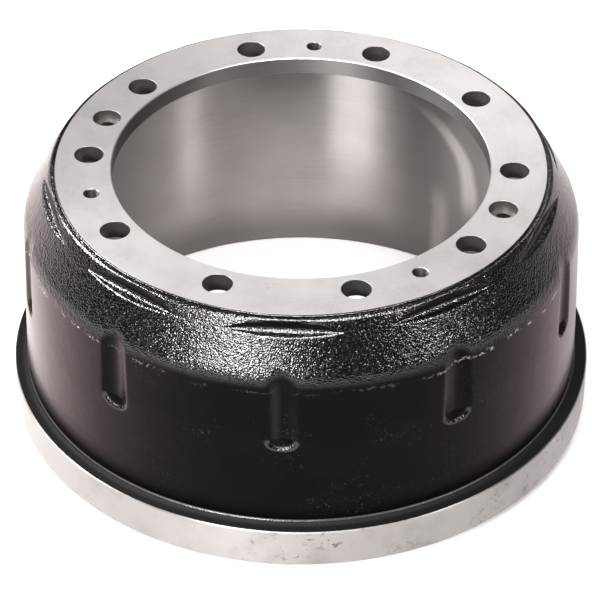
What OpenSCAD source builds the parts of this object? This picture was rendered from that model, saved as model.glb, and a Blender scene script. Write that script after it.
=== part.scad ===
// Brake drum for a heavy truck axle: one iron casting, turned and drilled.
// Z runs along the drum's axis. The open mouth stands on Z = 0 and the mounting flange is on top.
// The first wheel bolt lies on +X, and gap 0 is the space between it and the next bolt.

/* [Overall] */
// Height from the mouth to the flange face
drum_h = 227; // [205:1:260]
// Diameter of the braking surface
brake_d = 410; // [404:1:440]

/* [Mounting flange] */
// Diameter of the bolt circle
bolt_circle_d = 335; // [300:1:340]
// Number of wheel bolts, and of the grooves and notches between them
bolt_count = 10; // [10:1:12]
// Diameter of each wheel bolt hole
bolt_hole_d = 23; // [18:0.5:27]
// Land from the bolt circle in to the pilot bore
pilot_land = 18.5; // [16:0.5:24]
// Land from the bolt circle out to the edge of the turned face
face_land = 24.7; // [20:0.1:26]
// Thickness of the flange
flange_t = 15; // [12:0.5:20]
// Chamfer on the turned edges and the drilled holes
edge = 0.8; // [0.4:0.1:1.2]

/* [Set-screw holes] */
// Gaps that hold a countersunk set-screw hole
screw_gaps = [4, 9];
// Diameter of the hole for the screw's shank
screw_d = 13; // [9:0.5:15]
// Diameter of the counterbore for the screw's head
screw_head_d = 22.5; // [18:0.5:26]
// Depth of the counterbore
screw_head_h = 8.5; // [6:0.5:9]

/* [Jacking holes] */
// Gaps that hold a threaded jacking hole
jack_gaps = [2, 5, 8];
// Core diameter of the thread
jack_core_d = 10.2; // [6.8:0.1:12]
// Diameter at the mouth of the lead-in
jack_mouth_d = 12.6; // [12.5:0.1:16]

/* [Neck and shoulder] */
// Width of the cast ledge between the turned face and the shoulder
ledge_w = 5.3; // [4:0.1:8]
// Drop of the turned edge to the ledge
ledge_step = 1.2; // [1:0.1:2]
// Drop of the ledge's outer corner below the face
neck_drop = 2.2; // [2:0.1:4]
// Height of the sloping shoulder
shoulder_h = 41.6; // [34:0.1:50]
// Thickness of the shoulder
shoulder_t = 13.5; // [12:0.1:15]
// Round at the top of the shoulder
neck_round = 3; // [1:0.5:4]
// Round where the shoulder turns into the wall
shoulder_round = 30; // [10:1:50]

/* [Wall] */
// Thickness of the wall behind the braking surface, below the shoulder
wall_top_t = 15.6; // [14:0.1:20]
// Thickness of the wall at its foot
wall_foot_t = 19; // [17:0.1:24]
// Hollow round at the foot of the wall
foot_round = 6; // [2:0.5:8]

/* [Mouth] */
// Height of the turned ring
ring_h = 33.4; // [24:0.1:44]
// Thickness of the ring, from the braking surface outwards
ring_t = 29.4; // [27:0.1:36]
// Height of the lip under the ring
lip_h = 15; // [8:0.5:20]
// Thickness of the lip
lip_t = 9.5; // [7:0.1:14]
// Hollow round between the ring and the lip
lip_round = 2.5; // [1:0.5:4]
// Lead-in chamfer at the mouth of the braking surface
mouth_chamfer = 1.5; // [0.5:0.1:3]

/* [Inside] */
// Depth of the tool run-out above the braking surface
relief_depth = 1.2; // [0.5:0.1:3]
// Width of the run-out
relief_w = 5; // [3:0.5:12]
// Hollow round between the hub seat and the sloping inside
seat_round = 5; // [2:0.5:8]

/* [Grooves in the wall] */
// Radius of the round-bottomed grooves
flute_r = 14; // [9:0.5:18]
// Metal left between a groove and the braking surface
flute_floor_t = 11; // [8:0.1:14]
// Length of a groove below the shoulder
flute_l = 64; // [40:1:80]

/* [Notches in the shoulder] */
// How far the notch's upright side lies inside the neck
notch_inset = 0.2; // [0:0.1:1]
// Height of the upright side below the neck
notch_h = 9.1; // [6:0.1:12]
// Fall of the notch's floor towards the lip, in degrees
notch_fall = 20; // [8:1:26]
// Length of a notch at its longest
notch_l = 94; // [60:1:96]
// Hollow round along the foot of the upright side
notch_round = 3; // [1:0.5:4]

/* [Hidden] */
$fn = 180;
over = 1;

// Rounds of the section turn by at most this angle from one point to the next
round_step = 6;

brake_r = brake_d / 2;
bolt_r = bolt_circle_d / 2;
pilot_r = bolt_r - pilot_land;
face_r = bolt_r + face_land;
neck_r = face_r + ledge_w;
lip_r = brake_r + lip_t;
ring_r = brake_r + ring_t;
foot_r = brake_r + wall_foot_t;
wall_top_r = brake_r + wall_top_t;

hub_z = drum_h - flange_t;
neck_z = drum_h - neck_drop;
shoulder_z = neck_z - shoulder_h;
foot_z = lip_h + ring_h;

// The inside of the shoulder is parallel to the outside
shoulder_slope = (wall_top_r - neck_r) / shoulder_h;
shoulder_reach = shoulder_t * norm([1, shoulder_slope]);
seat_r = neck_r - shoulder_reach + (neck_z - hub_z) * shoulder_slope;
relief_r = brake_r + relief_depth;
relief_z = neck_z - (relief_r - neck_r + shoulder_reach) / shoulder_slope;
brake_z = relief_z - relief_w;

// A groove's lower end is a ball that leaves the wall flute_l below the shoulder
flute_axis_r = brake_r + flute_floor_t + flute_r;
flute_end_z = shoulder_z - flute_l;
wall_r_there = wall_top_r + flute_l * (foot_r - wall_top_r) / (shoulder_z - foot_z);
flute_ball_z = flute_end_z + sqrt(flute_r ^ 2 - (flute_axis_r - wall_r_there) ^ 2);

notch_r = neck_r - notch_inset;
notch_z = neck_z - notch_h;

function unit(v) = v / norm(v);
function turned(v, a) = [v[0] * cos(a) - v[1] * sin(a), v[0] * sin(a) + v[1] * cos(a)];
function bolt_angle(k) = 360 / bolt_count * k;
function gap_angle(g) = bolt_angle(g + 0.5);

// The points of a round of radius r in the corner at p, from its side towards a to its side towards b
function rounded(p, a, b, r) =
    let (
        to_a = unit(a - p),
        to_b = unit(b - p),
        half = acos(to_a * to_b) / 2,
        centre = p + unit(to_a + to_b) * r / sin(half),
        first = p + to_a * r / tan(half) - centre,
        last = p + to_b * r / tan(half) - centre,
        turn = sign(cross(first, last)) * (180 - 2 * half),
        steps = ceil(abs(turn) / round_step)
    )
    [for (i = [0 : steps]) centre + turned(first, turn * i / steps)];

// Half of the drum's section, from the pilot bore round the outside to the mouth and back up the inside
module section() {
    ledge = [face_r + edge, drum_h - ledge_step];
    neck = [neck_r, neck_z];
    shoulder = [wall_top_r, shoulder_z];
    foot = [foot_r, foot_z];
    ring_top = [ring_r, foot_z];
    ring_foot = [ring_r, lip_h];
    under_ring = [lip_r, lip_h];
    lip = [lip_r, 0];
    relief = [relief_r, relief_z];
    seat = [seat_r, hub_z];
    pilot = [pilot_r, hub_z];
    polygon([
        [pilot_r, drum_h - edge], [pilot_r + edge, drum_h],
        [face_r, drum_h], [face_r + edge, drum_h - edge], ledge,
        each rounded(neck, ledge, shoulder, neck_round),
        each rounded(shoulder, neck, foot, shoulder_round),
        each rounded(foot, shoulder, ring_top, foot_round),
        ring_top - [edge, 0], ring_top - [0, edge],
        ring_foot + [0, edge], ring_foot - [edge, 0],
        each rounded(under_ring, ring_foot, lip, lip_round),
        lip + [0, edge], lip - [edge, 0],
        [brake_r + mouth_chamfer, 0], [brake_r, mouth_chamfer],
        [brake_r, brake_z], [relief_r, brake_z + relief_depth], relief,
        each rounded(seat, relief, pilot, seat_round),
        pilot + [edge, 0], pilot + [0, edge]
    ]);
}

// A hole through the flange with a lead-in at both ends
module flange_hole(d, mouth_d) {
    lead = (mouth_d - d) / 2;
    translate([0, 0, hub_z - over]) cylinder(d = d, h = flange_t + 2 * over);
    translate([0, 0, drum_h - lead]) cylinder(d1 = d, d2 = mouth_d + 2 * over, h = lead + over);
    translate([0, 0, hub_z - over]) cylinder(d1 = mouth_d + 2 * over, d2 = d, h = lead + over);
}

module screw_hole() {
    flange_hole(screw_d, screw_d + 2 * edge);
    translate([0, 0, drum_h - screw_head_h]) cylinder(d = screw_head_d, h = screw_head_h + over);
    translate([0, 0, drum_h - edge])
        cylinder(d1 = screw_head_d, d2 = screw_head_d + 2 * edge + 2 * over, h = edge + over);
}

// An upright groove with a ball-shaped lower end, open at the top where the shoulder falls away
module flute() {
    translate([flute_axis_r, 0, flute_ball_z]) rotate_extrude() {
        intersection() {
            circle(flute_r);
            translate([0, -flute_r]) square(flute_r);
        }
        square([flute_r, drum_h + over - flute_ball_z]);
    }
}

// A flat upright cut across the shoulder's curve, which leaves a crescent-shaped floor
module notch() {
    foot = [notch_r, notch_z];
    top = [notch_r, drum_h + over];
    out = [ring_r, notch_z - (ring_r - notch_r) * tan(notch_fall)];
    translate([0, notch_l / 2, 0]) rotate([90, 0, 0]) linear_extrude(notch_l)
        polygon([top, each rounded(foot, top, out, notch_round), out, [ring_r, drum_h + over]]);
}

module brake_drum() {
    color("dimgray") difference() {
        rotate_extrude() section();
        for (k = [0 : bolt_count - 1]) {
            rotate(bolt_angle(k)) translate([bolt_r, 0, 0]) flange_hole(bolt_hole_d, bolt_hole_d + 2 * edge);
            rotate(gap_angle(k)) flute();
            rotate(gap_angle(k)) notch();
        }
        for (g = screw_gaps) rotate(gap_angle(g)) translate([bolt_r, 0, 0]) screw_hole();
        for (g = jack_gaps) rotate(gap_angle(g)) translate([bolt_r, 0, 0]) flange_hole(jack_core_d, jack_mouth_d);
    }
}

brake_drum();
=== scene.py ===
import math
import bpy
import bmesh
from mathutils import Matrix, Vector, noise


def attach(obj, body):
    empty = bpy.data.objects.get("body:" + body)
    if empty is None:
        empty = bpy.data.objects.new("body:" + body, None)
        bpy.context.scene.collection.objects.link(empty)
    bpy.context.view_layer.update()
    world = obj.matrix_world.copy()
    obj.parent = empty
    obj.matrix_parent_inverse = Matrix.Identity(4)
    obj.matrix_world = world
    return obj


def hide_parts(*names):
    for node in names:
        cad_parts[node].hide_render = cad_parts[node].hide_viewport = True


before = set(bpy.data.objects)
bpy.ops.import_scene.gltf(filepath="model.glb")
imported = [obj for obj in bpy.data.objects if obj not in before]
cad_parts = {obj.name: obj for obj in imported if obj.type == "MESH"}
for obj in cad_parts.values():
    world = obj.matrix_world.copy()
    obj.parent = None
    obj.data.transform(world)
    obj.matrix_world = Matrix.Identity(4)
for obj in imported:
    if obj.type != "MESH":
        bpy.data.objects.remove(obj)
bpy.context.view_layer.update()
scene = bpy.context.scene
print("frame loaded, nodes:", len(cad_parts))


# camera, at the angle and distance the photograph was taken from
cameraSetup = {
    "place": (0.1235, -1.8839, 1.5625),  # metres
    "looksAlong": (-0.0519, 0.7869, -0.6150),
    "lens": 176.5,  # mm
    "sensor": 36,  # mm
    "seesTo": 50,  # metres
}


def makeCamera(setup):
    data = bpy.data.cameras.new("camera")
    data.lens, data.sensor_width = setup["lens"], setup["sensor"]
    data.clip_end = setup["seesTo"]
    camera = bpy.data.objects.new("camera", data)
    scene.collection.objects.link(camera)
    camera.location = setup["place"]
    camera.rotation_euler = Vector(setup["looksAlong"]).to_track_quat("-Z", "Y").to_euler()
    scene.camera = camera


makeCamera(cameraSetup)


# mesh helpers; every length of the object is in mm and becomes metres when the mesh is finished
metresPerMm = 0.001
fullTurn = 2 * math.pi


def vec(*numbers):
    return Vector(numbers)


def roundCorner(before, corner, after, radius, steps):
    # points of a round in a corner of a section, never longer than the sides beside it allow
    shortest, mostOfSide = 0.2, 0.46
    back, ahead = before - corner, after - corner
    turn = math.pi - back.angle(ahead)
    reach = max(radius * math.tan(turn / 2), shortest)
    reach = min(reach, mostOfSide * back.length, mostOfSide * ahead.length)
    start, end = corner + back.normalized() * reach, corner + ahead.normalized() * reach
    points = []
    for i in range(steps + 1):
        t = i / steps
        a, b, c = (1 - t) ** 2, 2 * math.cos(turn / 2) * t * (1 - t), t * t
        points.append((start * a + corner * b + end * c) / (a + b + c))
    return points


def between(start, end, count):
    # points that divide the way from start to end, without its ends
    return [start.lerp(end, i / (count + 1)) for i in range(1, count + 1)]


def down(height, step, count):
    return [height - step * i for i in range(count)]


def softMin(a, b, width):
    # the smaller of two radii, with a round of that width where they meet
    share = max(width - abs(a - b), 0) / width
    return min(a, b) - share * share * width / 4


def blendFrom(low, high, value):
    # 0 at low, 1 at high, smooth between
    t = min(max((value - low) / (high - low), 0), 1)
    return t * t * (3 - 2 * t)


def spinRound(bm, geom, angle, steps, climb=0.0, closed=True):
    bmesh.ops.spin(bm, geom=geom, cent=(0, 0, 0), axis=(0, 0, 1), dvec=(0, 0, climb),
                   angle=angle, steps=steps, use_merge=closed, use_duplicate=False)


def makeObject(name, bm, materials):
    bmesh.ops.scale(bm, vec=(metresPerMm, metresPerMm, metresPerMm), verts=bm.verts)
    mesh = bpy.data.meshes.new(name)
    bm.to_mesh(mesh)
    bm.free()
    for material in materials:
        mesh.materials.append(material)
    piece = bpy.data.objects.new(name, mesh)
    scene.collection.objects.link(piece)
    return piece


# the drum's casting; a pair is the radius and height of a corner of its section
drum = {
    "bolts": 10,
    "pilotRadius": 149,
    "faceRadius": 193,
    "faceHeight": 227,
    "faceEdge": 0.15,
    "ledge": vec(193, 225.8),
    "ledgeStep": 1.8,  # length of the upright side that the ledge's inner round starts on
    "ledgeRound": 1,
    "neck": vec(197.5, 224.8),
    "neckRound": 5,
    "shoulder": vec(220.6, 183.2),
    "shoulderRound": 30,
    "foot": vec(224, 48.4),
    "footRound": 6,
    "ringTop": vec(234.4, 48.4),
    "ringFoot": 15,  # height of the ring's lower edge
    "ringFlat": 4.6,  # from the ring's edge in to the last row on its cast top
    "edge": 0.8,  # chamfer of the turned edges
    "lipRadius": 214.5,
    "lipRound": 2.5,
    "brakeRadius": 205,
    "brakeTop": 176.3,
    "mouthChamfer": 1.5,
    "relief": vec(206.2, 181.3),  # upper end of the tool's run-out
    "reliefFoot": 177.5,
    "seat": vec(189.17, 212),
    "seatRound": 5,
}
notch = {
    "plane": 197.3,  # how far the flat upright side is from the axis
    "foot": 215.7,  # height of its foot
    "top": 221.8,  # the highest that side gets
    "below": 209,  # height where the shoulder is whole again
    "fall": math.tan(math.radians(20)),
    "topRound": 1.1,
    "footRound": 4.2,
    "lipRound": 3,
    "apart": 0.45,  # least distance of its top and lip from its foot
    "spread": 2.6,  # how much more that is half-way to the next notch
    "spreadAngles": (math.radians(12.9), math.radians(18)),
}
groove = {
    "axis": 233.8,  # distance of the groove's axis from the drum's
    "radius": 16.5,
    "halfAngle": 0.09,  # radians, seen from the drum's axis
    "lowest": 112,
    "endHeight": 129.4,  # where the blunt lower end begins
    "endDepth": 11.5,
    "bluntness": 2.8,
    "edgeRound": 3.4,
    "rimRound": 1.5,  # at the lower end
}
# unevenness of the cast skin, which dies out at the machined edges
skin = {"wave": 0.12, "waveLength": 34, "calmAbove": (225.8, 224), "calmBelow": (49, 60)}
# angles of half a sector's columns from the middle of a notch, in degrees, closest at the groove's edges
sectorAngles = [
    0, 0.6, 1.2, 1.75, 2.2, 2.42, 2.62, 2.8, 2.98, 3.16, 3.36, 3.7,
    4.3, 5.4, 6.7, 8, 9.3, 10.6, 11.6, 12.25, 12.8, 13.3, 14.4, 16.1,
]
finishes = ["cast", "face", "turned", "bored", "raw", "drilled", "pilot"]


def castColumn(angle):
    # section of the cast skin from the ledge to below the notch, at an angle from the middle of a notch
    ledge, neck, shoulder = drum["ledge"], drum["neck"], drum["shoulder"]
    plane, footHeight, slope = notch["plane"], notch["foot"], notch["fall"]
    gain = (shoulder.x - neck.x) / (neck.y - shoulder.y)

    def onShoulder(height):
        return vec(neck.x + gain * (neck.y - height), height)

    cos = math.cos(angle)
    upright = plane / cos
    spread = notch["apart"] + notch["spread"] * blendFrom(*notch["spreadAngles"], angle)
    tip = onShoulder(footHeight)
    if upright < tip.x:
        corner = neck
        if upright <= neck.x:
            corner = ledge.lerp(neck, (upright - ledge.x) / (neck.x - ledge.x))
        meets = neck.y - (upright - neck.x) / gain
        top = vec(upright, min(meets, notch["top"]))
        if meets < footHeight + spread:
            top = onShoulder(footHeight + spread)
        foot = vec(upright, footHeight)
        lipRadius = (neck.x + gain * (neck.y - footHeight - slope * plane)) / (1 - gain * slope * cos)
        lip = onShoulder(min(neck.y - (lipRadius - neck.x) / gain, footHeight - spread))
    else:
        corner, foot = neck, tip
        top, lip = onShoulder(footHeight + spread), onShoulder(footHeight - spread)
    end = onShoulder(notch["below"])
    ledgeArc = roundCorner(ledge + vec(0, drum["ledgeStep"]), ledge, neck, drum["ledgeRound"], 3)
    neckArc = roundCorner(ledge, corner, top, drum["neckRound"], 6)
    topArc = roundCorner(corner, top, foot, notch["topRound"], 4)
    footArc = roundCorner(top, foot, lip, notch["footRound"], 7)
    lipArc = roundCorner(foot, lip, end, notch["lipRound"], 6)
    return [
        *ledgeArc,
        *neckArc, *between(neckArc[-1], topArc[0], 1),
        *topArc, *between(topArc[-1], footArc[0], 2),
        *footArc, *between(footArc[-1], lipArc[0], 2),
        *lipArc, *between(lipArc[-1], end, 3),
    ]


def wallRows():
    # the cast skin below the notches, the same in every column until the grooves are sunk
    arc = roundCorner(drum["neck"], drum["shoulder"], drum["foot"], drum["shoulderRound"], 40)
    line = [drum["neck"], *arc, drum["foot"]]
    # closest where the grooves run out of the shoulder and round their lower ends
    heights = down(notch["below"], 3, 4) + [197.6] + down(196, 0.8, 27) + down(171, 4.4, 9)
    heights += down(134, 0.8, 22) + [113, 107, 99, 90, 80, 70, 62, 57]
    rows = []
    for height in heights:
        above, below = next((a, b) for a, b in zip(line, line[1:]) if b.y <= height)
        rows.append(above.lerp(below, (above.y - height) / (above.y - below.y)))
    return rows + roundCorner(drum["shoulder"], drum["foot"], drum["ringTop"], drum["footRound"], 8)


def mouthRows():
    # ring, lip, braking surface, inside of the shoulder, hub seat and bore, each point with its finish
    edge, brake, lip = drum["edge"], drum["brakeRadius"], drum["lipRadius"]
    ring, ringHeight = drum["ringTop"]
    ringFoot, seat, relief = drum["ringFoot"], drum["seat"], drum["relief"]
    hole, face, top, faceEdge = drum["pilotRadius"], drum["faceRadius"], drum["faceHeight"], drum["faceEdge"]
    underRing = vec(lip, ringFoot)
    lipArc = roundCorner(underRing + vec(15.5, 0), underRing, vec(lip, 1), drum["lipRound"], 4)
    seatArc = roundCorner(relief, seat, vec(160, seat.y), drum["seatRound"], 5)

    def run(finish, *points):
        return [(finish, vec(*point)) for point in points]

    return [
        *run("cast", (ring - drum["ringFlat"], ringHeight)),
        *run("turned", (ring - edge, ringHeight), (ring, ringHeight - edge)),
        *run("turned", *((ring, height) for height in (40, 32, 24, ringFoot + edge))),
        *run("turned", (ring - edge, ringFoot)),
        *run("cast", *lipArc),
        *run("turned", (lip, edge), (lip - edge, 0)),
        *run("bored", (brake + drum["mouthChamfer"], 0), (brake, drum["mouthChamfer"])),
        *run("bored", *((brake, height) for height in (20, 45, 70, 95, 120, 145, 165, drum["brakeTop"]))),
        *run("bored", (relief.x, drum["reliefFoot"])),
        *run("raw", relief, *between(relief, seatArc[0], 2), *seatArc[:-1]),
        *run("turned", seatArc[-1], (hole + edge, seat.y)),
        *run("pilot", (hole, seat.y + edge)),
        *run("face", (hole, top - edge), (hole + edge, top)),
        *run("turned", (face - faceEdge, top)),
        *run("cast", (face, top - faceEdge)),
    ]


def sinkGroove(radius, height, angle):
    across = groove["axis"] * math.sin(angle)
    below = max(groove["endHeight"] - height, 0) / groove["endDepth"]
    room = groove["radius"] ** 2 * (1 - below ** groove["bluntness"]) - across ** 2
    if room <= 0:
        return radius
    soft = groove["edgeRound"] + (groove["rimRound"] - groove["edgeRound"]) * min(below, 1)
    return softMin(radius, groove["axis"] * math.cos(angle) - math.sqrt(room), soft)


def aroundAxis(radius, angle, height):
    return vec(radius * math.cos(angle), radius * math.sin(angle), height)


def makeCasting(materials):
    half = [math.radians(a) for a in sectorAngles]
    edge = math.pi / drum["bolts"]
    local = [-edge] + [-a for a in reversed(half[1:])] + half  # columns of a sector, from its middle
    perSector = len(local)
    columns = perSector * drum["bolts"]
    notched = {round(abs(a), 9): castColumn(abs(a)) for a in local}
    plain = notched[round(edge, 9)]
    wall = wallRows()
    mouth = mouthRows()
    castRows = len(plain)
    skinRows = castRows + len(wall)
    baseRows = plain + wall + [point for finish, point in mouth]
    finishOf = ["cast"] * skinRows + [finish for finish, point in mouth]

    # one closed section, spun all the way round
    bm = bmesh.new()
    rowLayer = bm.verts.layers.int.new("row")
    ring = []
    for i, point in enumerate(baseRows):
        vert = bm.verts.new((point.x, 0, point.y))
        vert[rowLayer] = i
        ring.append(vert)
    edges = [bm.edges.new((ring[i - 1], ring[i])) for i in range(len(ring))]
    spinRound(bm, ring + edges, fullTurn, columns)
    print("section spun:", len(bm.verts), "vertices")

    # columns move to where the notches and grooves need them, rows to the notches' own sections
    for vert in bm.verts:
        row = vert[rowLayer]
        column = round(math.atan2(vert.co.y, vert.co.x) / fullTurn * columns) % columns
        sector, place = divmod(column, perSector)
        angle = local[place]
        point = notched[round(abs(angle), 9)][row] if row < castRows else baseRows[row]
        radius, height = point
        inGroove = abs(angle) < groove["halfAngle"] and height > groove["lowest"]
        if castRows <= row < skinRows and inGroove:
            radius = sinkGroove(radius, height, angle)
        turned = (2 * sector + 1) * edge + angle
        if row < skinRows:
            spot = aroundAxis(radius, turned, height) / skin["waveLength"]
            calm = blendFrom(*skin["calmAbove"], height) * blendFrom(*skin["calmBelow"], height)
            radius += skin["wave"] * calm * noise.noise(spot)
        vert.co = aroundAxis(radius, turned, height)

    # a face takes the finish of its first row, and the last row of faces closes on row 0
    lastRow = len(baseRows) - 1
    for face in bm.faces:
        rows = sorted({vert[rowLayer] for vert in face.verts})
        first = lastRow if rows[0] == 0 and rows[-1] == lastRow else rows[0]
        face.material_index = finishes.index(finishOf[first])
    bmesh.ops.recalc_face_normals(bm, faces=bm.faces)
    return makeObject("drum_casting", bm, materials)


# holes through the flange
flange = {
    "circle": 167.5,
    "top": drum["faceHeight"],
    "seat": drum["seat"].y,
    "boltHole": 11.5,
    "lead": 0.2,
    "screwHoles": (4, 9),  # the gaps between bolts that hold them
    "screwRadius": 6.5,
    "screwHead": 11.25,
    "screwHeadDepth": 8.5,
    "jackingHoles": (2, 5, 8),
    "threadRadius": 6,
    "threadCore": 5.1,
    "threadMouth": 6.5,
    "threadPitch": 1.75,
    "past": 1,  # how far the cutters go past both faces
    "steps": 72,  # of a plain hole's circle, and of a jacking hole's
    "jackingSteps": 48,
}


def onCircle(gap):
    # a place on the bolt circle, counted in gaps from the first bolt
    return Matrix.Rotation(gap * fullTurn / drum["bolts"], 3, "Z") @ vec(flange["circle"], 0, 0)


def spinCutter(bm, profile, gap, steps):
    # a closed plug with that profile of radius and height, on the bolt circle
    verts = [bm.verts.new((radius, 0, height)) for radius, height in profile]
    edges = [bm.edges.new(pair) for pair in zip(verts, verts[1:])]
    spinRound(bm, verts + edges, fullTurn, steps)
    seen, todo = set(verts), list(verts)
    while todo:  # everything joined to the profile belongs to this plug
        for edge in todo.pop().link_edges:
            for vert in edge.verts:
                if vert not in seen:
                    seen.add(vert)
                    todo.append(vert)
    bmesh.ops.translate(bm, vec=onCircle(gap), verts=list(seen))


def makeCutter():
    f = flange
    over, under, lead = f["top"] + f["past"], f["seat"] - f["past"], f["lead"]
    headFloor = f["top"] - f["screwHeadDepth"]

    def holeFoot(radius, mouth):
        return [(0, under), (mouth + f["past"], under), (radius, f["seat"] + mouth - radius)]

    def holeTop(radius, mouth):
        return [(radius, f["top"] - mouth + radius), (mouth + f["past"], over), (0, over)]

    def throughHole(radius, mouth):
        return holeFoot(radius, mouth) + holeTop(radius, mouth)

    headed = [
        *holeFoot(f["screwRadius"], f["screwRadius"] + lead),
        (f["screwRadius"], headFloor), (f["screwHead"], headFloor),
        *holeTop(f["screwHead"], f["screwHead"] + lead),
    ]
    bm = bmesh.new()
    for k in range(drum["bolts"]):
        spinCutter(bm, throughHole(f["boltHole"], f["boltHole"] + lead), k, f["steps"])
    for gap in f["screwHoles"]:
        spinCutter(bm, headed, gap + 0.5, f["steps"])
    for gap in f["jackingHoles"]:
        spinCutter(bm, throughHole(f["threadRadius"], f["threadMouth"]), gap + 0.5, f["jackingSteps"])
    bmesh.ops.remove_doubles(bm, verts=bm.verts, dist=0.0001)
    bmesh.ops.recalc_face_normals(bm, faces=bm.faces)

    # lead-ins at the top are turned with the face, and a counterbore's floor is bright as the face is
    for face in bm.faces:
        height = face.calc_center_median().z
        flat = abs(face.normal.z) > 0.3 and height > headFloor - 0.1
        finish = ("turned" if height > f["top"] - 1 else "face") if flat else "drilled"
        face.material_index = finishes.index(finish)
    return makeObject("hole_cutter", bm, [])


def drillHoles(piece, cutter):
    for material in piece.data.materials:
        cutter.data.materials.append(material)
    drill = piece.modifiers.new("holes", "BOOLEAN")
    drill.operation, drill.solver, drill.object = "DIFFERENCE", "EXACT", cutter
    bpy.context.view_layer.update()
    cut = bpy.data.meshes.new_from_object(piece.evaluated_get(bpy.context.evaluated_depsgraph_get()))
    piece.modifiers.clear()
    piece.data = cut
    bpy.data.objects.remove(cutter)


def shadeEdges(piece, limit):
    # smooth skin, with a hard line wherever two faces meet at more than that angle
    bm = bmesh.new()
    bm.from_mesh(piece.data)
    for face in bm.faces:
        face.smooth = True
    for edge in bm.edges:
        edge.smooth = not (edge.is_manifold and edge.calc_face_angle(0) > math.radians(limit))
    bm.to_mesh(piece.data)
    bm.free()


# a thread's ridge: half its width at the root and at the crest, in parts of the pitch
ridge = {"root": 0.44, "crest": 0.07, "sunk": 0.12, "sunkWider": 0.06, "perTurn": 36}


def makeThreads(material):
    # one helical ridge in each jacking hole, its root sunk a little into the wall
    f = flange
    pitch = f["threadPitch"]
    turns = (f["top"] - f["seat"]) / pitch - 1
    steps = round(turns * ridge["perTurn"])
    start = f["seat"] + 0.5 * pitch
    root, crest = ridge["root"] * pitch + ridge["sunkWider"], ridge["crest"] * pitch
    outer, core = f["threadRadius"] + ridge["sunk"], f["threadCore"]
    corners = [(outer, -root), (outer, root), (core, crest), (core, -crest)]
    bm = bmesh.new()
    for gap in f["jackingHoles"]:
        verts = [bm.verts.new((radius, 0, start + height)) for radius, height in corners]
        first = bm.faces.new(verts)
        geom = [first, *first.edges, *verts]
        spinRound(bm, geom, fullTurn * turns, steps, climb=pitch / ridge["perTurn"], closed=False)
        fresh = [vert for vert in bm.verts if not vert.tag]
        bmesh.ops.translate(bm, vec=onCircle(gap + 0.5), verts=fresh)
        for vert in fresh:
            vert.tag = True
    bmesh.ops.recalc_face_normals(bm, faces=bm.faces)
    return makeObject("jacking_threads", bm, [material])


# materials
class Socket:
    # a node's socket that takes part in sums: each operator adds its Math node
    def __init__(self, tree, socket=None):
        self.tree, self.socket = tree, socket

    def node(self, kind, settings=None, inputs=None, output=0):
        made = self.tree.nodes.new(kind)
        for key, value in (settings or {}).items():
            setattr(made, key, value)
        for key, value in (inputs or {}).items():
            if isinstance(value, Socket):
                self.tree.links.new(value.socket, made.inputs[key])
            else:
                made.inputs[key].default_value = value
        return Socket(self.tree, made.outputs[output]) if made.outputs else made

    def maths(self, operation, *values):
        return self.node("ShaderNodeMath", {"operation": operation}, dict(enumerate(values)))

    def __add__(self, other):
        return self.maths("ADD", self, other)

    def __sub__(self, other):
        return self.maths("SUBTRACT", self, other)

    def __rsub__(self, other):
        return self.maths("SUBTRACT", other, self)

    def __mul__(self, other):
        return self.maths("MULTIPLY", self, other)

    def __truediv__(self, other):
        return self.maths("DIVIDE", self, other)

    def __rtruediv__(self, other):
        return self.maths("DIVIDE", other, self)

    def __pow__(self, other):
        return self.maths("POWER", self, other)

    __radd__, __rmul__ = __add__, __mul__


def startFinish(name):
    material = bpy.data.materials.new(name)
    material.use_nodes = True
    material.node_tree.nodes.clear()
    return material, Socket(material.node_tree)


def principled(sheet, settings):
    return sheet.node("ShaderNodeBsdfPrincipled", {}, settings)


def endFinish(sheet, shader):
    sheet.node("ShaderNodeOutputMaterial", {}, {"Surface": shader})


def drumPlace(sheet):
    # position on the drum in mm
    coordinates = sheet.node("ShaderNodeTexCoord", output=3)
    return sheet.node("ShaderNodeVectorMath", {"operation": "SCALE"}, {0: coordinates, "Scale": 1000.0})


def part(sheet, vector, axis):
    return sheet.node("ShaderNodeSeparateXYZ", {}, {0: vector}, output="xyz".index(axis))


def radiusOf(sheet, place):
    x, y = part(sheet, place, "x"), part(sheet, place, "y")
    return (x * x + y * y) ** 0.5


def aroundOf(sheet, place):
    # how far round the drum a place is, in mm along a circle near the braking surface
    circle = 200
    return sheet.maths("ARCTAN2", part(sheet, place, "y"), part(sheet, place, "x")) * circle


def grain(sheet, place, scale, detail=2.0, roughness=0.5, distortion=0.0):
    # noise with that many waves to a mm
    return sheet.node("ShaderNodeTexNoise", {}, {
        "Vector": place, "Scale": scale, "Detail": detail, "Roughness": roughness, "Distortion": distortion,
    })


def rise(sheet, value, low, high, start=0.0, end=1.0):
    # a smooth step from start to end while value goes from low to high
    inputs = {0: value, 1: low, 2: high, 3: start, 4: end}
    return sheet.node("ShaderNodeMapRange", {"interpolation_type": "SMOOTHSTEP"}, inputs)


def fall(sheet, value, low, high):
    return rise(sheet, value, low, high, 1.0, 0.0)


def mottle(sheet, place, layers, start=0):
    # a sum of noises, each a weight with the noise's scale, detail and roughness
    return sum((weight * grain(sheet, place, *kind) for weight, *kind in layers), start)


def flecks(sheet, place, layers):
    # 1 only where each noise is past its own pair of values
    return math.prod(rise(sheet, grain(sheet, place, *kind), low, high) for kind, (low, high) in layers)


def mixColour(sheet, share, first, second):
    return sheet.node("ShaderNodeMix", {"data_type": "RGBA"}, {0: share, 6: first, 7: second}, output=2)


def rub(sheet, strength, depth, height):
    # a bump in which a height of 1 stands for that depth in mm
    inputs = {"Strength": strength, "Distance": depth * metresPerMm, "Height": height}
    return sheet.node("ShaderNodeBump", {}, inputs)


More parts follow.
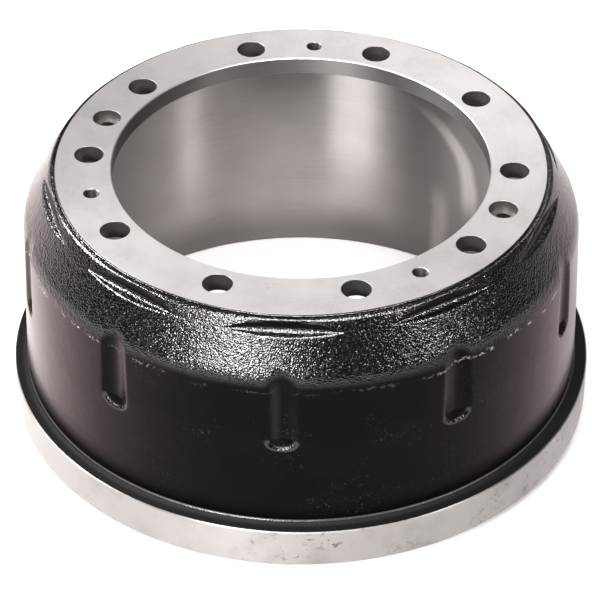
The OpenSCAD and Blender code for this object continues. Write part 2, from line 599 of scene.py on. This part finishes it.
def toolMarks(sheet, look, across, around):
    # fine lines round the drum: noise that is short across the cut and long along it
    inputs = {0: across / look["markPitch"], 1: around / look["markLength"], 2: 0.0}
    spot = sheet.node("ShaderNodeCombineXYZ", {}, inputs)
    return grain(sheet, spot, 1.0, 3.0, 0.6)


def turnedIron(sheet, look, colour, marks, bump):
    # bright iron whose tool marks spread the light across themselves
    return principled(sheet, {
        "Base Color": colour, "Metallic": 1.0, "Normal": bump,
        "Roughness": look["roughness"] + look["markRoughness"] * marks,
        "Anisotropic": look["spread"], "Anisotropic Rotation": 0.25,
    })


# black lacquer, nearly all gloss: smooth on the wall, over sand grain on the shoulder, painted highlights on
# upper edges
paintLook = {
    "black": (0.0015, 0.0014, 0.0014, 1),
    "brown": (0.0042, 0.0037, 0.0036, 1),
    "edgeTint": (0.80, 0.745, 0.745, 1),
    "grain": (0.0365, 0.035, 0.0356, 1),
    # painted highlight: a lighter colour on the rounds of the notches and neck, where the lights reflect
    "edgeHighlight": (0.09, 0.088, 0.087, 1),
    # painted highlight on the ledge's front; its back is painted black as painted shade
    "ledge": (0.22, 0.214, 0.21, 1),
    "seam": (0.34, 0.322, 0.314, 1),
    "foot": (0.0165, 0.0158, 0.0155, 1),
    # painted sheen on the flank of the grooves that faces anticlockwise
    "sunk": (0.0085, 0.0081, 0.0081, 1),
    # painted highlight along the top of the foot's round
    "footHighlight": (0.085, 0.083, 0.082, 1),
    # heights in mm between which one kind of skin gives way to the next
    "shoulderFrom": (186.5, 192.5),
    "seamFrom": (185.6, 186.4),
    "seamTo": (187.2, 188.2),
    "footTo": (50, 60),
    "dullFootTo": (52, 78),
    "grooveTo": (176, 186),
    "pocketFrom": (90, 100),
    "pocketTo": (134, 138),
    # radii in mm, and then places to the right and to the back
    "sunkTo": (218, 220.2),
    "rimGlintFrom": (219.6, 220.8),
    "litFlankFrom": (-90, -40),
    "litFrontTo": (-70, 60),
    "seamLitSides": (80, 180, 0.05, 1.0),  # mm to either side, and how clear the seam is there; clearer at the sides as a painted highlight
    # upward part of the normal: 0 on an upright wall, 1 on a level face
    "upwardFrom": (0.05, 0.42),
    "edgesFrom": (0.53, 0.7),
    "edgesTo": (0.88, 0.93),
    "ledgeFrom": (0.952, 0.972),
    "footHighlightFrom": (0.1, 0.22),
    "footHighlightTo": (0.42, 0.6),
    "flatFrom": (0.4, 0.6),
    "coarseFrom": (0.03, 0.16),
    "coarseFootFrom": (0.2, 0.5),
    "pocketLean": (0.02, 0.12),
    "litFlankLean": (-0.05, 0.3),  # part of the normal that points anticlockwise
    # noises: a weight or depth in mm, then scale, detail and roughness
    "ragged": [(14, 0.02, 2.0), (6, 0.35, 2.0, 0.6), (4, 1.1, 0.0)],
    "sand": [(0.38, 0.84, 0.0), (0.25, 0.25, 0.0)],
    "waves": [(0.12, 0.09, 2.0, 0.5), (0.065, 0.45, 1.0)],
    "patches": [(0.7, 0.018, 4.0, 0.6), (0.3, 0.3, 3.0, 0.65)],
    # noises with the values between which they let something show
    "seamGaps": [((0.05, 3.0, 0.6), (0.44, 0.58)), ((0.42, 1.0), (0.46, 0.56))],
    "dust": [((0.7, 1.0), (0.68, 0.74)), ((0.025, 3.0), (0.48, 0.62))],
    "dustShare": 0.08,
    "rimGlintShare": 0.07,
    "seamHeight": 0.3,
    # roughness of the wall, and what each kind of skin adds to it
    "rough": {
        "wall": 0.24, "coarse": -0.08, "patches": 0.05, "pocket": 0.45, "sunk": 0.2,
        "low": 0.16, "flat": 0.3,
    },
}


def paintedCasting():
    look = paintLook
    material, sheet = startFinish("painted_casting")
    place = drumPlace(sheet)
    x, y, height = (part(sheet, place, axis) for axis in "xyz")
    radius = radiusOf(sheet, place)
    normal = sheet.node("ShaderNodeTexCoord", output=1)
    sideways, along, lean = (part(sheet, normal, axis) for axis in "xyz")

    # the shoulder's skin begins along a ragged line, with the lip of a seam on it
    ragged = mottle(sheet, place, look["ragged"], height)
    shoulder = rise(sheet, ragged, *look["shoulderFrom"])
    seam = rise(sheet, ragged, *look["seamFrom"]) * fall(sheet, ragged, *look["seamTo"])
    seam = seam * flecks(sheet, place, look["seamGaps"])
    # painted highlight: the seam's light line is clearer at the sides than at the front
    seam = seam * rise(sheet, sheet.maths("ABSOLUTE", x), *look["seamLitSides"])

    # shoulder, its upper edges with a painted highlight, and the dull ledge round the turned face
    upward = rise(sheet, lean, *look["upwardFrom"]) * shoulder
    edges = rise(sheet, lean, *look["edgesFrom"]) * fall(sheet, lean, *look["edgesTo"]) * shoulder
    ledge = rise(sheet, lean, *look["ledgeFrom"]) * shoulder
    # painted highlight and shade: the ledge is lighter at the front, where the lights fall, and black at the
    # back
    front = fall(sheet, y, *look["litFrontTo"])

    # top of the ring, with a painted highlight line along the top of the foot's round
    foot = fall(sheet, height, *look["footTo"])
    footHighlight = foot * rise(sheet, lean, *look["footHighlightFrom"]) * fall(sheet, lean, *look["footHighlightTo"])
    flat = foot * rise(sheet, lean, *look["flatFrom"])
    low = fall(sheet, height, *look["dullFootTo"])

    # grooves: the flank that faces anticlockwise, painted lighter on the front and right grooves as a
    # painted sheen, and the blunt lower end inside its rim
    litFlank = rise(sheet, (along * x - sideways * y) / radius, *look["litFlankLean"])
    litFlank = litFlank * rise(sheet, x, *look["litFlankFrom"])
    sunk = fall(sheet, radius, *look["sunkTo"]) * fall(sheet, height, *look["grooveTo"]) * litFlank
    end = rise(sheet, lean, *look["pocketLean"]) * fall(sheet, height, *look["pocketTo"])
    end = end * rise(sheet, height, *look["pocketFrom"])
    # painted glint: the rim of a groove's lower end takes the seam's light colour
    rimGlint = end * rise(sheet, radius, *look["rimGlintFrom"])
    pocket = end - rimGlint

    # sand grain where the skin is coarse, long shallow waves elsewhere
    coarse = shoulder * rise(sheet, lean, *look["coarseFrom"]) * (1 - 0.5 * edges)
    coarse = sheet.maths("MAXIMUM", coarse, rise(sheet, lean, *look["coarseFootFrom"]) - 0.75 * flat)
    sand, waves = mottle(sheet, place, look["sand"]), mottle(sheet, place, look["waves"])
    bump = rub(sheet, 1.0, 1.0, coarse * sand + (1 - coarse) * waves + seam * look["seamHeight"])

    patches = mottle(sheet, place, look["patches"])
    dust = flecks(sheet, place, look["dust"])
    # one light colour for dust specks, the seam's painted highlight and the rims' painted glint
    specksAndGlints = sheet.maths("MAXIMUM", seam, dust * look["dustShare"]) + rimGlint * look["rimGlintShare"]
    layers = [
        (upward, "grain"), (sunk, "sunk"), (footHighlight, "footHighlight"), (flat, "foot"), (edges, "edgeHighlight"),
        (ledge * front, "ledge"), (ledge - ledge * front, "black"), (specksAndGlints, "seam"),
    ]
    colour = mixColour(sheet, patches, look["black"], look["brown"])
    for share, name in layers:
        colour = mixColour(sheet, share, colour, look[name])
    rough = look["rough"]
    roughness = rough["wall"] + rough["coarse"] * coarse + rough["patches"] * patches
    roughness = roughness + rough["pocket"] * pocket + rough["sunk"] * sunk
    roughness = roughness + rough["low"] * low + rough["flat"] * flat
    endFinish(sheet, principled(sheet, {
        "Base Color": colour, "Metallic": 1.0, "Specular Tint": look["edgeTint"],
        "Roughness": roughness, "Normal": bump,
    }))
    return material


# turned face
faceLook = {
    "iron": (0.52, 0.492, 0.483, 1),
    "dull": (0.45, 0.425, 0.417, 1),
    "pit": (0.30, 0.28, 0.27, 1),
    "cloud": (0.03, 4.0, 0.6),  # noises: scale, detail and roughness
    "speckle": (0.7, 1.0),
    "pits": (0.5, 3.0, 0.6),
    "dullFrom": (0.38, 0.68),
    "pitsFrom": (0.6, 0.7),
    "pittedFrom": (0.42, 0.58),
    "pitShare": 0.6,
    "markPitch": 1.1,
    "markLength": 60,
    "markDepth": 0.08,
    "markBump": 0.3,
    "roughness": 0.42,
    "markRoughness": 0.1,
    "spread": 0.4,
}


def machinedFace():
    look = faceLook
    material, sheet = startFinish("machined_face")
    place = drumPlace(sheet)
    marks = toolMarks(sheet, look, radiusOf(sheet, place), aroundOf(sheet, place))
    cloud = grain(sheet, place, *look["cloud"])
    speckle = grain(sheet, place, *look["speckle"])
    dull = rise(sheet, cloud * 0.65 + marks * 0.15 + speckle * 0.2, *look["dullFrom"])
    pits = rise(sheet, grain(sheet, place, *look["pits"]), *look["pitsFrom"])
    pits = pits * rise(sheet, cloud, *look["pittedFrom"])
    colour = mixColour(sheet, dull, look["iron"], look["dull"])
    colour = mixColour(sheet, pits * look["pitShare"], colour, look["pit"])
    bump = rub(sheet, look["markBump"], look["markDepth"], marks * 0.6 + speckle * 0.4)
    endFinish(sheet, turnedIron(sheet, look, colour, marks, bump))
    return material


# turned ring round the mouth, smudged and scuffed
ringLook = {
    "iron": (0.218, 0.209, 0.203, 1),
    "smudge": (0.17, 0.163, 0.158, 1),
    "scuff": (0.1, 0.096, 0.094, 1),
    # noises with the values between which they let something show
    "smudges": [((0.03, 4.0, 0.55), (0.45, 0.75))],
    "scuffs": [((0.11, 5.0, 0.68, 1.5), (0.57, 0.64)), ((0.014, 2.0), (0.5, 0.62))],
    "markPitch": 0.9,
    "markLength": 70,
    "markDepth": 0.08,
    "markBump": 0.35,
    "roughness": 0.4,
    "markRoughness": 0.1,
    "spread": 0.7,
}


def turnedRing():
    look = ringLook
    material, sheet = startFinish("turned_ring")
    place = drumPlace(sheet)
    marks = toolMarks(sheet, look, part(sheet, place, "z"), aroundOf(sheet, place))
    colour = mixColour(sheet, flecks(sheet, place, look["smudges"]), look["iron"], look["smudge"])
    colour = mixColour(sheet, flecks(sheet, place, look["scuffs"]), colour, look["scuff"])
    bump = rub(sheet, look["markBump"], look["markDepth"], marks)
    endFinish(sheet, turnedIron(sheet, look, colour, marks, bump))
    return material


# turned inside, under a smoother burnish
boreLook = {
    "iron": (0.335, 0.315, 0.304, 1),
    "dull": (0.268, 0.251, 0.241, 1),
    # painted shade: darker towards the mouth
    "mouth": (0.17, 0.158, 0.152, 1),
    # painted shade on the right and the left of the inside
    "paintedShade": (0.152, 0.144, 0.138, 1),
    # painted reflections: bright curved bands on the inside
    "paintedReflection": (0.4, 0.378, 0.366, 1),
    "mouthShadeTo": (8, 50),  # heights
    "rightShadeFrom": (130, 165),  # mm round the drum
    "rightShadeTo": (225, 260),
    "rightShadeShare": 0.8,
    "leftShadeTo": (-175, -115),  # mm to the right of the axis
    "leftShadeShare": 0.95,
    "sway": 10,  # how far the painted reflections waver
    "firstReflection": 176,  # the first one's middle, in mm round the drum
    "firstWidth": (3, 13),
    "firstFrom": (55, 90),
    "firstTo": (140, 165),
    "bendFrom": 82,  # height from which the first one leans over
    "bendOver": 71,
    "bendReach": 40,
    "bendCurve": 2.5,
    "secondReflection": 208,
    "secondWidth": (2, 12),
    "secondTo": (60, 95, 0.6, 0.0),
    "dullFrom": (0.35, 0.75),
    "cloud": (0.02, 3.0, 0.5),
    "markPitch": 1.0,
    "markLength": 90,
    "markDepth": 0.05,
    "markBump": 0.3,
    "roughness": 0.31,
    "markRoughness": 0.04,
    "spread": 1.0,
    "burnishRoughness": 0.17,
    "burnish": 0.36,
}


def boredSurface():
    look = boreLook
    material, sheet = startFinish("bored_surface")
    place = drumPlace(sheet)
    height, around = part(sheet, place, "z"), aroundOf(sheet, place)
    marks = toolMarks(sheet, look, height, around)
    cloud = grain(sheet, place, *look["cloud"])
    dull = rise(sheet, cloud * 0.5 + marks * 0.5, *look["dullFrom"])

    # painted shade on the right and on the left of the inside
    right = rise(sheet, around, *look["rightShadeFrom"]) * fall(sheet, around, *look["rightShadeTo"])
    left = fall(sheet, part(sheet, place, "x"), *look["leftShadeTo"])
    paintedShade = right * look["rightShadeShare"] + left * look["leftShadeShare"]

    # two painted reflections, bright curved bands on the inside, the first one bent over at the top
    swayed = around + look["sway"] * grain(sheet, place, 0.02, 2.0)
    bend = sheet.maths("MAXIMUM", height - look["bendFrom"], 0.0) / look["bendOver"]
    first = swayed - look["firstReflection"] - look["bendReach"] * bend ** look["bendCurve"]
    first = fall(sheet, sheet.maths("ABSOLUTE", first), *look["firstWidth"])
    first = first * rise(sheet, height, *look["firstFrom"]) * fall(sheet, height, *look["firstTo"])
    second = fall(sheet, sheet.maths("ABSOLUTE", swayed - look["secondReflection"]), *look["secondWidth"])
    second = second * rise(sheet, height, *look["secondTo"])

    colour = mixColour(sheet, dull, look["iron"], look["dull"])
    # painted shade: the wall is darker towards the mouth, standing for the shaded floor it reflects
    colour = mixColour(sheet, fall(sheet, height, *look["mouthShadeTo"]), colour, look["mouth"])
    colour = mixColour(sheet, paintedShade, colour, look["paintedShade"])
    colour = mixColour(sheet, sheet.maths("MAXIMUM", first, second), colour, look["paintedReflection"])
    bump = rub(sheet, look["markBump"], look["markDepth"], marks)
    under = turnedIron(sheet, look, colour, marks, bump)
    over = principled(sheet, {
        "Base Color": colour, "Metallic": 1.0, "Normal": bump,
        "Roughness": look["burnishRoughness"] + look["markRoughness"] * marks,
    })
    endFinish(sheet, sheet.node("ShaderNodeMixShader", {}, {0: look["burnish"], 1: under, 2: over}))
    return material


# darker turned wall of the pilot bore
pilotLook = {
    "iron": (0.17, 0.161, 0.156, 1),
    "dull": (0.115, 0.109, 0.105, 1),
    "markPitch": 0.8,
    "markLength": 60,
    "markDepth": 0.06,
    "markBump": 0.3,
    "roughness": 0.42,
    "markRoughness": 0.08,
    "spread": 0.8,
}


def pilotWall():
    look = pilotLook
    material, sheet = startFinish("pilot_wall")
    place = drumPlace(sheet)
    marks = toolMarks(sheet, look, part(sheet, place, "z"), aroundOf(sheet, place))
    colour = mixColour(sheet, marks, look["iron"], look["dull"])
    bump = rub(sheet, look["markBump"], look["markDepth"], marks)
    endFinish(sheet, turnedIron(sheet, look, colour, marks, bump))
    return material


# unpainted sand casting inside the shoulder
rawLook = {
    "dark": (0.03, 0.028, 0.027, 1),
    "rusty": (0.07, 0.062, 0.056, 1),
    "patches": (0.05, 3.0),  # noises: scale, detail and roughness
    "sand": (0.6, 3.0, 0.6),
    "sandDepth": 0.6,
    "sandBump": 0.8,
    "roughness": 0.6,
}


def rawCasting():
    look = rawLook
    material, sheet = startFinish("raw_casting")
    place = drumPlace(sheet)
    colour = mixColour(sheet, grain(sheet, place, *look["patches"]), look["dark"], look["rusty"])
    bump = rub(sheet, look["sandBump"], look["sandDepth"], grain(sheet, place, *look["sand"]))
    endFinish(sheet, principled(sheet, {
        "Base Color": colour, "Roughness": look["roughness"], "Normal": bump,
    }))
    return material


# walls of the holes, and the threads in the jacking holes: a dark and a light colour for each
drilledLook = {
    "wall": ((0.05, 0.046, 0.043, 1), (0.135, 0.126, 0.117, 1)),
    "thread": ((0.022, 0.02, 0.019, 1), (0.06, 0.056, 0.052, 1)),
    "markPitch": 0.7,
    "markLength": 12,
    "markDepth": 0.1,
    "markBump": 0.5,
    "metallic": 0.9,
    "roughness": 0.45,
}


def drilledWall(name, dark, light):
    look = drilledLook
    material, sheet = startFinish(name)
    place = drumPlace(sheet)
    marks = toolMarks(sheet, look, part(sheet, place, "z"), aroundOf(sheet, place))
    bump = rub(sheet, look["markBump"], look["markDepth"], marks)
    endFinish(sheet, principled(sheet, {
        "Base Color": mixColour(sheet, marks, dark, light), "Metallic": look["metallic"],
        "Roughness": look["roughness"], "Normal": bump,
    }))
    return material


# in the order of the list of finishes
castingMaterials = [
    paintedCasting(), machinedFace(), turnedRing(), boredSurface(), rawCasting(),
    drilledWall("drilled_wall", *drilledLook["wall"]), pilotWall(),
]
cutThread = drilledWall("cut_thread", *drilledLook["thread"])
print("materials ready")

hardEdge = 30  # degrees
casting = makeCasting(castingMaterials)
drillHoles(casting, makeCutter())
shadeEdges(casting, hardEdge)
print("holes drilled:", len(casting.data.polygons), "faces")
threads = makeThreads(cutThread)
shadeEdges(threads, hardEdge)
for piece in (casting, threads):
    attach(piece, "root")
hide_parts("brake_drum")
print("drum finished")


# studio: pale floor and soft light
studio = {
    "floor": (0.86, 0.825, 0.82, 1),
    "floorReach": 9000,
    "world": 0.14,
    "aim": (0, 0, 0.15),
    "lights": {  # degrees round from the front and up from the floor, then metres and watts
        "key": {"around": -21, "up": 25.5, "away": 2.2, "size": (0.72, 0.42), "power": 92},
        "top": {"around": 8, "up": 60, "away": 2.2, "size": (1.2, 1.2), "power": 72},
        "left": {"around": -97, "up": 36, "away": 2.2, "size": (1.7, 0.38), "power": 112},
        "right": {"around": 56, "up": 28, "away": 2.2, "size": (0.3, 0.4), "power": 26},
        "back": {"around": 169.5, "up": 31, "away": 2.6, "size": (1.7, 1.2), "power": 17},
        "boardLeft": {"around": -130, "up": 8, "away": 2.4, "size": (1.8, 0.8), "power": 4},
        "boardRight": {"around": 122, "up": 3, "away": 2.4, "size": (1.6, 0.5), "power": 1.3},
    },
}


def makeFloor():
    material, sheet = startFinish("floor")
    endFinish(sheet, principled(sheet, {"Base Color": studio["floor"], "Roughness": 0.9}))
    bm = bmesh.new()
    bmesh.ops.create_grid(bm, x_segments=1, y_segments=1, size=studio["floorReach"])
    floor = makeObject("floor", bm, [material])


def makeLights():
    world = bpy.data.worlds.new("studio")
    world.use_nodes = True
    background = world.node_tree.nodes["Background"]
    background.inputs["Color"].default_value = (1, 1, 1, 1)
    background.inputs["Strength"].default_value = studio["world"]
    scene.world = world
    for name, light in studio["lights"].items():
        data = bpy.data.lights.new(name, "AREA")
        data.shape, data.energy = "RECTANGLE", light["power"]
        data.size, data.size_y = light["size"]
        lamp = bpy.data.objects.new(name, data)
        scene.collection.objects.link(lamp)
        around, up = math.radians(light["around"]), math.radians(light["up"])
        level = math.cos(up)
        towards = vec(math.sin(around) * level, -math.cos(around) * level, math.sin(up))
        lamp.location = vec(*studio["aim"]) + towards * light["away"]
        lamp.rotation_euler = towards.to_track_quat("Z", "Y").to_euler()


makeFloor()
makeLights()
scene.view_settings.view_transform = "Standard"
print("studio ready")
